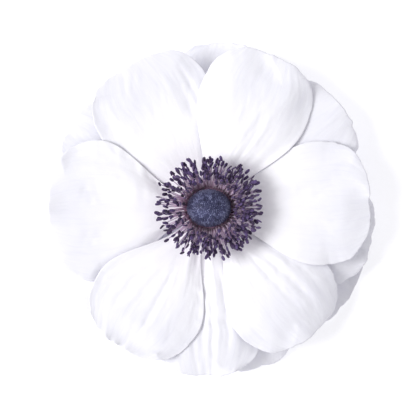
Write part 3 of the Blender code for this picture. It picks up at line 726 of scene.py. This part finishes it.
def twoLobedAnthers(tree, sizes, points, bend, tip):
    # each a blunt ball with a groove down both faces, lying along the end of its filament
    ball = addNode(tree, "GeometryNodeMeshUVSphere", {"Segments": 8, "Rings": 6, "Radius": 0.5})
    spot = addNode(tree, "GeometryNodeInputPosition")
    sideways = addNode(tree, "ShaderNodeSeparateXYZ", {0: spot}).outputs[0]
    aside = addNode(tree, "ShaderNodeMath", {0: sideways}, operation="ABSOLUTE")
    lobes = addNode(tree, "ShaderNodeMath", {0: aside, 1: 1.3, 2: 0.5}, operation="MULTIPLY_ADD")
    flattened = addNode(tree, "ShaderNodeVectorMath", {0: spot, 1: (1, 1, 0)}, operation="MULTIPLY")
    girth = addNode(tree, "ShaderNodeVectorMath", {0: flattened}, operation="LENGTH")
    guarded = addNode(tree, "ShaderNodeMath", {0: girth.outputs["Value"], 1: 0.02}, operation="ADD")
    blunt = addNode(tree, "ShaderNodeMath", {0: guarded, 1: -antherBluntness}, operation="POWER")
    grooved = addNode(tree, "ShaderNodeMath", {0: blunt, 1: lobes}, operation="MULTIPLY")
    bluntness = addNode(tree, "ShaderNodeCombineXYZ", {0: blunt, 1: grooved, 2: antherStretch})
    pinched = addNode(tree, "ShaderNodeVectorMath", {0: spot, 1: bluntness}, operation="MULTIPLY")
    antherSize = addNode(
        tree, "ShaderNodeCombineXYZ",
        {0: sizes["Anther Width"], 1: sizes["Anther Depth"], 2: sizes["Anther Length"]},
    )
    scaled = addNode(tree, "ShaderNodeVectorMath", {0: pinched, 1: antherSize}, operation="MULTIPLY")
    antherShape = addNode(
        tree, "ShaderNodeVectorMath", {0: scaled, "Scale": 1 / antherStretch}, operation="SCALE",
    )
    anther = addNode(tree, "GeometryNodeSetPosition", {"Geometry": ball, "Position": antherShape})
    ends = addNode(tree, "GeometryNodeSetPosition", {"Geometry": points, "Position": tip})
    lie = addNode(tree, "ShaderNodeVectorMath", {0: tip, 1: bend}, operation="SUBTRACT")
    aligned = addNode(tree, "FunctionNodeAlignRotationToVector", {"Vector": lie}, axis="Z")
    rotation = leaned(tree, aligned, sizes["Anther Tilt"], math.pi, {"Seed": 12})
    size = addNode(tree, "FunctionNodeRandomValue", {2: 0.8, 3: 1.12, "Seed": 13})
    anthers = addNode(
        tree, "GeometryNodeInstanceOnPoints",
        {"Points": ends, "Instance": anther, "Rotation": rotation, "Scale": size.outputs[1]},
    )
    real = addNode(tree, "GeometryNodeRealizeInstances", {"Geometry": anthers})
    # 2 marks an anther, because a filament has 0 at its root to 1 at its tip
    return addNode(
        tree, "GeometryNodeStoreNamedAttribute", {"Geometry": real, "Name": "alongStamen", "Value": 2.0},
        data_type="FLOAT", domain="POINT",
    )


def ovalShoulder(tree, sizes):
    # flares from the top of the stem, and is knobbly where the filaments leave it
    cone = addNode(
        tree, "GeometryNodeMeshCone",
        {"Vertices": 96, "Side Segments": 6, "Fill Segments": 4, "Radius Top": 1.0, "Radius Bottom": 0.62,
         "Depth": 1.0},
    )
    shoulderSize = addNode(
        tree, "ShaderNodeCombineXYZ",
        {0: sizes["Shoulder Radius X"], 1: sizes["Shoulder Radius Y"], 2: sizes["Shoulder Height"]},
    )
    shoulderPlace = addNode(tree, "ShaderNodeCombineXYZ", {2: sizes["Shoulder Foot"]})
    shoulder = addNode(
        tree, "GeometryNodeTransform",
        {"Geometry": cone, "Translation": shoulderPlace, "Scale": shoulderSize},
    )
    spot = addNode(tree, "GeometryNodeInputPosition")
    knobs = addNode(tree, "ShaderNodeTexNoise", {"Vector": spot, "Scale": 1100.0, "Detail": 1.0})  # 0.9 mm
    knobRise = addNode(
        tree, "ShaderNodeMapRange", {"Value": knobs, "To Min": -knobHeight, "To Max": knobHeight},
    )
    normal = addNode(tree, "GeometryNodeInputNormal")
    knobOffset = addNode(tree, "ShaderNodeVectorMath", {0: normal, "Scale": knobRise}, operation="SCALE")
    return addNode(tree, "GeometryNodeSetPosition", {"Geometry": shoulder, "Offset": knobOffset})


def stamenTree(material):
    tree, sizes = newTree("stamens", lookSockets(stamenLook))
    points = stamenPoints(tree, sizes)
    root, bend, tip = [
        addNode(tree, "GeometryNodeInputNamedAttribute", {"Name": name}, data_type="FLOAT_VECTOR")
        for name in ("root", "bend", "tip")
    ]
    filaments = filamentThreads(tree, sizes, points, root, bend, tip)
    anthers = twoLobedAnthers(tree, sizes, points, bend, tip)
    shoulder = ovalShoulder(tree, sizes)
    finishTree(tree, [shoulder.outputs[0], filaments.outputs[0], anthers.outputs[0]], material)
    return tree


def stamenTissue():
    # Filaments are moist, slightly see-through threads: pale mauve, pinker at the root, dark at the anther.
    # Anthers are dry and dusty with pollen: blue-violet, nearly black in the shade, with a dull bloom.
    made, tree, shader = newMaterial(
        "filament and pollen dusted anther", **{"Roughness": 0.55, "Specular IOR Level": 0.35,
        "Subsurface Weight": 0.08, "Subsurface Radius": (1.0, 0.6, 0.9), "Subsurface Scale": 0.3 * mm,
        "Sheen Weight": 0.25, "Sheen Roughness": 0.45},
    )
    along = addNode(tree, "ShaderNodeAttribute", attribute_name="alongStamen")
    tint = addNode(tree, "ShaderNodeAttribute", attribute_name="stamenTint")
    spot = addNode(tree, "ShaderNodeTexCoord").outputs["Object"]
    thread = ramp(
        addNode(tree, "ShaderNodeValToRGB", {"Fac": along.outputs["Fac"]}),
        [(0.0, "#D8AECB"), (0.25, "#E0C2DA"), (0.7, "#E8D4EA"), (0.95, "#8A689E")],
    )
    # pollen, drawn at 0.4 mm because its grains are too fine to show
    grains = addNode(tree, "ShaderNodeTexNoise", {"Vector": spot, "Scale": 2600.0, "Detail": 2.0})
    patch = addNode(
        tree, "ShaderNodeMath", {0: tint.outputs["Fac"], 1: 0.5, 2: grains}, operation="MULTIPLY_ADD",
    )
    anther = ramp(
        addNode(tree, "ShaderNodeValToRGB", {"Fac": patch}),
        [(0.3, "#22142E"), (0.65, "#39254C"), (1.0, "#5A4878")],
    )
    isAnther = addNode(tree, "ShaderNodeMath", {0: along.outputs["Fac"], 1: 1.5}, operation="GREATER_THAN")
    finishMaterial(tree, shader, thread, [(isAnther, anther)], grains, strength=0.5, depth=0.06)
    return made


def placedMesh(name, tree, look):
    mesh = meshFromTree(name, tree, inMetres(look))
    mesh.transform(Matrix.Translation(bloomAxis))
    return mesh


stamenMesh = placedMesh("stamens", stamenTree(stamenTissue()), stamenLook)
addPiece("fine_stamens", stamenMesh, "purple_stamen", "stamens")
print("stamens made:", stamenLook["Count"], "less the gaps on the left")


# Pistils. A dark oval dome packed with short blunt styles.

pistilLook = {
    "Count": 1100,
    "Radius X": 5.75,
    "Radius Y": 4.85,
    "Half Height": 4.7,
    "Middle Height": 14.25,
    "Cut": -0.62,
    "Style Length": 1.1,
    "Style Width": 0.36,
    "Style Lean": 0.35,
    "Seed": 3,
}


def pistilTree(material):
    tree, sizes = newTree("pistils", lookSockets(pistilLook))
    index, share, angle = spiral(tree, sizes["Count"])
    domeSize = addNode(
        tree, "ShaderNodeCombineXYZ", {0: sizes["Radius X"], 1: sizes["Radius Y"], 2: sizes["Half Height"]},
    )
    lift = addNode(tree, "ShaderNodeCombineXYZ", {2: sizes["Middle Height"]})

    # evenly spread places on a unit ball, from the top down to the cut
    level = addNode(tree, "ShaderNodeMapRange", {"Value": share, "To Min": 1.0, "To Max": sizes["Cut"]})
    squared = addNode(tree, "ShaderNodeMath", {0: level, 1: level}, operation="MULTIPLY")
    rest = addNode(tree, "ShaderNodeMath", {0: 1.0, 1: squared}, operation="SUBTRACT")
    flat = addNode(tree, "ShaderNodeMath", {0: rest}, operation="SQRT")
    straight = addNode(tree, "ShaderNodeCombineXYZ", {0: flat, 2: level})
    unit = addNode(
        tree, "ShaderNodeVectorRotate", {"Vector": straight, "Angle": angle}, rotation_type="Z_AXIS",
    )
    place = addNode(tree, "ShaderNodeVectorMath", {0: unit, 1: domeSize, 2: lift}, operation="MULTIPLY_ADD")
    points = addNode(
        tree, "GeometryNodePoints", {"Count": sizes["Count"], "Position": place, "Radius": 0.1 * mm},
    )
    outward = addNode(tree, "ShaderNodeVectorMath", {0: unit, 1: domeSize}, operation="DIVIDE")
    aligned = addNode(tree, "FunctionNodeAlignRotationToVector", {"Vector": outward}, axis="Z")
    draw = {"ID": index, "Seed": sizes["Seed"]}
    rotation = leaned(tree, aligned, sizes["Style Lean"], math.tau, draw)

    # one style: a blunt peg, rooted well inside the dome
    peg = addNode(tree, "GeometryNodeMeshUVSphere", {"Segments": 6, "Rings": 5, "Radius": 0.5})
    pegSize = addNode(
        tree, "ShaderNodeCombineXYZ",
        {0: sizes["Style Width"], 1: sizes["Style Width"], 2: sizes["Style Length"]},
    )
    style = addNode(tree, "GeometryNodeTransform", {"Geometry": peg, "Scale": pegSize})
    size = addNode(tree, "FunctionNodeRandomValue", {2: 0.82, 3: 1.18, "Seed": 5})
    styles = addNode(
        tree, "GeometryNodeInstanceOnPoints",
        {"Points": points, "Instance": style, "Rotation": rotation, "Scale": size.outputs[1]},
    )
    tint = addNode(tree, "FunctionNodeRandomValue", {2: 0.0, 3: 1.0, "Seed": 9})
    tinted = addNode(
        tree, "GeometryNodeStoreNamedAttribute",
        {"Geometry": styles, "Name": "styleTint", "Value": tint.outputs[1]},
        data_type="FLOAT", domain="INSTANCE",
    )

    # the dome under them, flat below
    ball = addNode(tree, "GeometryNodeMeshUVSphere", {"Segments": 64, "Rings": 32, "Radius": 1.0})
    spot = addNode(tree, "GeometryNodeInputPosition")
    east, north, up = addNode(tree, "ShaderNodeSeparateXYZ", {0: spot}).outputs
    raised = addNode(tree, "ShaderNodeMath", {0: up, 1: sizes["Cut"]}, operation="MAXIMUM")
    cutPlace = addNode(tree, "ShaderNodeCombineXYZ", {0: east, 1: north, 2: raised})
    domed = addNode(
        tree, "ShaderNodeVectorMath", {0: cutPlace, 1: domeSize, 2: lift}, operation="MULTIPLY_ADD",
    )
    dome = addNode(tree, "GeometryNodeSetPosition", {"Geometry": ball, "Position": domed})
    finishTree(tree, [dome.outputs[0], tinted.outputs[0]], material)
    return tree


def pistilTissue():
    # Crowded styles with a waxy bloom: navy to charcoal, paler blue where the light grazes them, and
    # painted shade: a darker plum down the dome's flanks to its foot, where they curve away from the light.
    made, tree, shader = newMaterial(
        "waxy blue black style", **{"Roughness": 0.5, "Specular IOR Level": 0.4, "Sheen Weight": 0.12,
        "Sheen Roughness": 0.35, "Sheen Tint": colour("#8C90C8")},
    )
    tint = addNode(tree, "ShaderNodeAttribute", attribute_name="styleTint")
    spot = addNode(tree, "ShaderNodeTexCoord").outputs["Object"]
    height = addNode(tree, "ShaderNodeSeparateXYZ", {0: spot}).outputs[2]
    # clouds of bloom, 3 mm across
    clouds = addNode(tree, "ShaderNodeTexNoise", {"Vector": spot, "Scale": 330.0, "Detail": 3.0})
    bloom = addNode(
        tree, "ShaderNodeMath", {0: tint.outputs["Fac"], 1: 0.4, 2: clouds}, operation="MULTIPLY_ADD",
    )
    # painted shade: darker plum from near the dome's top down to its foot
    foot = addNode(
        tree, "ShaderNodeMapRange", {"Value": height, "From Min": 18.6 * mm, "From Max": 13.5 * mm},
    )
    bloomed = ramp(
        addNode(tree, "ShaderNodeValToRGB", {"Fac": bloom}),
        [(0.35, "#282A46"), (0.65, "#55577C"), (1.0, "#A4A8D0")],
    )
    # the grain of the wax, drawn at 0.2 mm because the real one is too fine to show
    grains = addNode(tree, "ShaderNodeTexNoise", {"Vector": spot, "Scale": 5200.0, "Detail": 1.0})
    finishMaterial(tree, shader, bloomed, [(foot, "#2E2440")], grains, strength=0.4, depth=0.04)
    return made


pistilMesh = placedMesh("pistils", pistilTree(pistilTissue()), pistilLook)
addPiece("fine_pistils", pistilMesh, "dark_pistil", "pistil_head")
print("pistils made:", pistilLook["Count"])


# Stem. A short cut stub, ribbed and downy, that swells to carry the petals.

stemLook = {
    "radius": 2.3, "topRadius": 4.4, "foot": 0.6, "neck": 2.2, "shoulder": 3.7, "top": 9.0,
    "edge": 0.2, "ribs": 11, "ribHeight": 0.07, "ribWander": 0.35, "knots": 0.06, "cutDish": 0.14,
    "cutGrain": 0.03, "sides": 88, "rings": 44, "capRings": 9, "seed": 91,
}
stemHairs = {
    "Hair Density": 9.0e6,  # in a square metre
    "Hair Length": 0.75 * mm,
    "Hair Radius": 0.028 * mm,
    "Hair Lean": 0.55,
    "Highest": 4.9 * mm,
    "Lowest": 0.85 * mm,
    "Seed": 21,
}


def stemBody():
    look, seed = stemLook, stemLook["seed"]
    angle = np.linspace(0, math.tau, look["sides"], endpoint=False)
    height = np.linspace(look["foot"], look["top"], look["rings"])
    swell = np.clip((height - look["neck"]) / (look["shoulder"] - look["neck"]), 0, 1)
    swell = swell**2 * (3 - 2 * swell)
    radius = look["radius"] + (look["topRadius"] - look["radius"]) * swell
    nearest = np.minimum(height - look["foot"], look["top"] - height)
    rounding = np.clip(1 - nearest / look["edge"], 0, 1)
    radius = radius - look["edge"] * (1 - np.sqrt(1 - rounding**2))
    turn, level = np.meshgrid(angle, height)
    wander = look["ribWander"] * softNoise(level * 0.5 + 3, level * 0 + 0.5, seed)
    ribs = look["ribHeight"] * np.cos(look["ribs"] * (turn + wander)) * (1 - 0.7 * swell[:, None])
    # the noise is read on a circle, so that it meets itself
    east, north = 9 + 3 * np.cos(turn), 9 + 3 * np.sin(turn)
    bumps = look["knots"] * softNoise(east + level * 0.7, north + level * 0.4, seed + 1)
    around = radius[:, None] + (ribs + bumps) * (1 - rounding[:, None])
    shares = np.linspace(0, 1, look["capRings"] + 1)[1:-1, None]
    dish = look["cutDish"] * (1 - shares**2)
    dish = dish + look["cutGrain"] * softNoise(turn[:1] * 6 + 2, shares * 5, seed + 2)
    low = np.concatenate([shares * around[:1], around, shares[::-1] * around[-1:]])
    levels = np.concatenate([look["foot"] + dish, level, np.full((len(shares), len(angle)), look["top"])])
    rows, columns = low.shape
    ring = np.stack([low * np.cos(angle), low * np.sin(angle), levels], axis=-1).reshape(-1, 3)
    poles = [(0, 0, look["foot"] + look["cutDish"]), (0, 0, look["top"])]
    points = np.concatenate([ring, poles]) * mm + np.array(bloomAxis)
    index = np.arange(rows * columns).reshape(rows, columns)
    following = np.roll(index, -1, axis=1)
    sides = np.stack([index[:-1], following[:-1], following[1:], index[1:]], axis=-1).reshape(-1, 4)
    bottom = [(rows * columns, b, a) for a, b in zip(index[0], following[0])]
    top = [(rows * columns + 1, a, b) for a, b in zip(index[-1], following[-1])]
    mesh = bpy.data.meshes.new("stem")
    mesh.from_pydata(points.tolist(), [], [*sides.tolist(), *bottom, *top])
    cut = mesh.attributes.new("stemCut", "FLOAT", "POINT")
    isCut = np.zeros(len(points), np.float32)
    isCut[: len(shares) * columns] = isCut[-2] = 1
    cut.data.foreach_set("value", isCut)
    mesh.shade_smooth()
    return mesh


def stemTree(material):
    tree, sizes = newTree(
        "stem hairs", [("Body", "Geometry", None)] + [
            (name, "Int" if name == "Seed" else "Float", value) for name, value in stemHairs.items()
        ],
    )
    spot = addNode(tree, "GeometryNodeInputPosition")
    height = addNode(tree, "ShaderNodeSeparateXYZ", {0: spot}).outputs[2]
    below = addNode(tree, "ShaderNodeMath", {0: height, 1: sizes["Highest"]}, operation="LESS_THAN")
    above = addNode(tree, "ShaderNodeMath", {0: height, 1: sizes["Lowest"]}, operation="GREATER_THAN")
    downy = addNode(tree, "ShaderNodeMath", {0: below, 1: above}, operation="MULTIPLY")
    density = addNode(tree, "ShaderNodeMath", {0: downy, 1: sizes["Hair Density"]}, operation="MULTIPLY")
    scattered = addNode(
        tree, "GeometryNodeDistributePointsOnFaces",
        {"Mesh": sizes["Body"], "Density": density, "Seed": sizes["Seed"]},
    )
    hair = addNode(
        tree, "GeometryNodeMeshCone",
        {"Vertices": 4, "Side Segments": 2, "Radius Top": 0.006 * mm, "Radius Bottom": sizes["Hair Radius"],
         "Depth": sizes["Hair Length"]},
    )
    rotation = leaned(tree, scattered.outputs["Rotation"], sizes["Hair Lean"], math.tau, {"Seed": 22})
    size = addNode(tree, "FunctionNodeRandomValue", {2: 0.5, 3: 1.1, "Seed": 23})
    hairs = addNode(
        tree, "GeometryNodeInstanceOnPoints",
        {"Points": scattered, "Instance": hair, "Rotation": rotation, "Scale": size.outputs[1]},
    )
    real = addNode(tree, "GeometryNodeRealizeInstances", {"Geometry": hairs})
    marked = addNode(
        tree, "GeometryNodeStoreNamedAttribute", {"Geometry": real, "Name": "stemHair", "Value": 1.0},
        data_type="FLOAT", domain="POINT",
    )
    finishTree(tree, [sizes["Body"], marked.outputs[0]], material)
    return tree


def stemTissue():
    # Fresh cut green stem: waxy ribs, flushed purple up under the petals, silvery down that catches the
    # light, and a moist pale cut with a ring of darker sap bundles.
    made, tree, shader = newMaterial(
        "downy green stem and its cut", **{"Roughness": 0.45, "Specular IOR Level": 0.4,
        "Subsurface Weight": 0.1, "Subsurface Radius": (0.7, 1.0, 0.4), "Subsurface Scale": 0.6 * mm,
        "Sheen Weight": 0.3, "Sheen Roughness": 0.4},
    )
    spot = addNode(tree, "ShaderNodeTexCoord").outputs["Object"]
    height = addNode(tree, "ShaderNodeSeparateXYZ", {0: spot}).outputs[2]
    flush = addNode(
        tree, "ShaderNodeMapRange", {"Value": height, "From Min": 1.6 * mm, "From Max": 4.4 * mm},
        interpolation_type="SMOOTHSTEP",
    )

    # fibres 0.4 mm wide and 4 mm long, drawn coarser than the real ones so that they show
    stretched = addNode(tree, "ShaderNodeMapping", {"Vector": spot, "Scale": (2400.0, 2400.0, 260.0)})
    fibres = addNode(tree, "ShaderNodeTexNoise", {"Vector": stretched, "Scale": 1.0, "Detail": 3.0})
    green = ramp(
        addNode(tree, "ShaderNodeValToRGB", {"Fac": fibres}),
        [(0.3, "#5E7A3A"), (0.55, "#7F9A52"), (0.75, "#9DB26E")],
    )
    purple = ramp(
        addNode(tree, "ShaderNodeValToRGB", {"Fac": fibres}), [(0.3, "#4A3A48"), (0.7, "#75627A")],
    )

    # the cut: distance from the stem's axis chooses pith, bundles or rind
    centred = addNode(
        tree, "ShaderNodeVectorMath", {0: spot, 1: (bloomAxis.x, bloomAxis.y, 0)}, operation="SUBTRACT",
    )
    level = addNode(tree, "ShaderNodeVectorMath", {0: centred, 1: (1, 1, 0)}, operation="MULTIPLY")
    radius = addNode(tree, "ShaderNodeVectorMath", {0: level}, operation="LENGTH")
    share = addNode(
        tree, "ShaderNodeMapRange", {"Value": radius.outputs["Value"], "From Max": stemLook["radius"] * mm},
    )
    rings = ramp(
        addNode(tree, "ShaderNodeValToRGB", {"Fac": share}),
        [(0.0, "#E6EAD0"), (0.5, "#D3DDB0"), (0.78, "#B9C98A"), (0.9, "#8DA65C"), (1.0, "#6B7F42")],
    )
    # the bundles stand 0.6 mm apart
    dots = addNode(tree, "ShaderNodeTexVoronoi", {"Vector": level, "Scale": 1700.0}, feature="F1")
    bundle = addNode(
        tree, "ShaderNodeMapRange", {"Value": dots.outputs["Distance"], "From Min": 0.34, "From Max": 0.2},
    )
    ringZone = addNode(tree, "ShaderNodeMapRange", {"Value": share, "From Min": 0.5, "From Max": 0.62})
    bundleShare = addNode(tree, "ShaderNodeMath", {0: bundle, 1: ringZone}, operation="MULTIPLY")
    cutFace = addNode(
        tree, "ShaderNodeMix", {"Factor": bundleShare, 6: rings, 7: colour("#7C8A4C")}, data_type="RGBA",
    )
    cut = addNode(tree, "ShaderNodeAttribute", attribute_name="stemCut")
    hair = addNode(tree, "ShaderNodeAttribute", attribute_name="stemHair")
    covers = [(flush, purple), (cut.outputs["Fac"], cutFace.outputs[2]), (hair.outputs["Fac"], "#D9DECF")]
    finishMaterial(tree, shader, green, covers, fibres, strength=0.5, depth=0.06)
    return made


stemMesh = meshFromTree("stem", stemTree(stemTissue()), stemHairs, stemBody())
addPiece("fine_stem", stemMesh, "green_stem", "stem")
print("stem made")


# Table, light and camera

studio = {
    "table": "#CDCDD2",
    "glow": 0.55,
    "skyStrength": 0.63,
    "keyPower": 82.0,  # watts
    "keyPlace": (-2.37, 0.13, 1.86),
    "keySize": 1.8,
    "fillPower": 2.0,
    "fillPlace": (0.9, -0.9, 1.3),
    "fillSize": 1.0,
    "cameraHeight": 0.70,
    "fieldWidth": 0.1161,  # of the picture, at the petals' height
    "petalLevel": 0.010,
    "cameraOffset": (-0.28 * mm, 0.0),
}


def paleTable():
    # A light table's sheet of opal acrylic: even, matt and nearly white, with a faint glow from below, so
    # that only soft contact shadows show on it.
    sockets = {
        "Base Color": colour(studio["table"]), "Roughness": 0.85, "Specular IOR Level": 0.2,
        "Emission Color": colour("#FFFFFF"), "Emission Strength": studio["glow"],
    }
    return newMaterial("glowing opal acrylic", **sockets)[0]


def areaLight(name, power, place, size, hexValue):
    data = bpy.data.lights.new(name, "AREA")
    data.shape = "DISK"
    data.size = size
    data.energy = power
    data.color = colour(hexValue)[:3]
    light = bpy.data.objects.new(name, data)
    bpy.context.scene.collection.objects.link(light)
    light.location = place
    light.rotation_euler = (Vector(place) - bloomAxis).to_track_quat("Z", "Y").to_euler()


tableMesh = bpy.data.meshes.new("table")
tableMesh.from_pydata([(-1.5, -1.5, 0), (1.5, -1.5, 0), (1.5, 1.5, 0), (-1.5, 1.5, 0)], [], [(0, 1, 2, 3)])
tableMesh.materials.append(paleTable())
table = bpy.data.objects.new("table", tableMesh)
bpy.context.scene.collection.objects.link(table)

areaLight("window", studio["keyPower"], studio["keyPlace"], studio["keySize"], "#FFFFFF")
areaLight("reflector", studio["fillPower"], studio["fillPlace"], studio["fillSize"], "#F6F4FF")
world = bpy.data.worlds.new("bright room")
world.use_nodes = True
sky = world.node_tree.nodes["Background"]
sky.inputs["Color"].default_value = colour("#FDFCFF")
sky.inputs["Strength"].default_value = studio["skyStrength"]
bpy.context.scene.world = world
bpy.context.scene.view_settings.view_transform = "Standard"

camera = bpy.data.objects.new("camera", bpy.data.cameras.new("camera"))
bpy.context.scene.collection.objects.link(camera)
camera.location = (
    bloomAxis.x + studio["cameraOffset"][0],
    bloomAxis.y + studio["cameraOffset"][1],
    studio["cameraHeight"],
)
camera.data.sensor_width = 36
camera.data.lens = 36 * (studio["cameraHeight"] - studio["petalLevel"]) / studio["fieldWidth"]
bpy.context.scene.camera = camera
print("light and camera set")
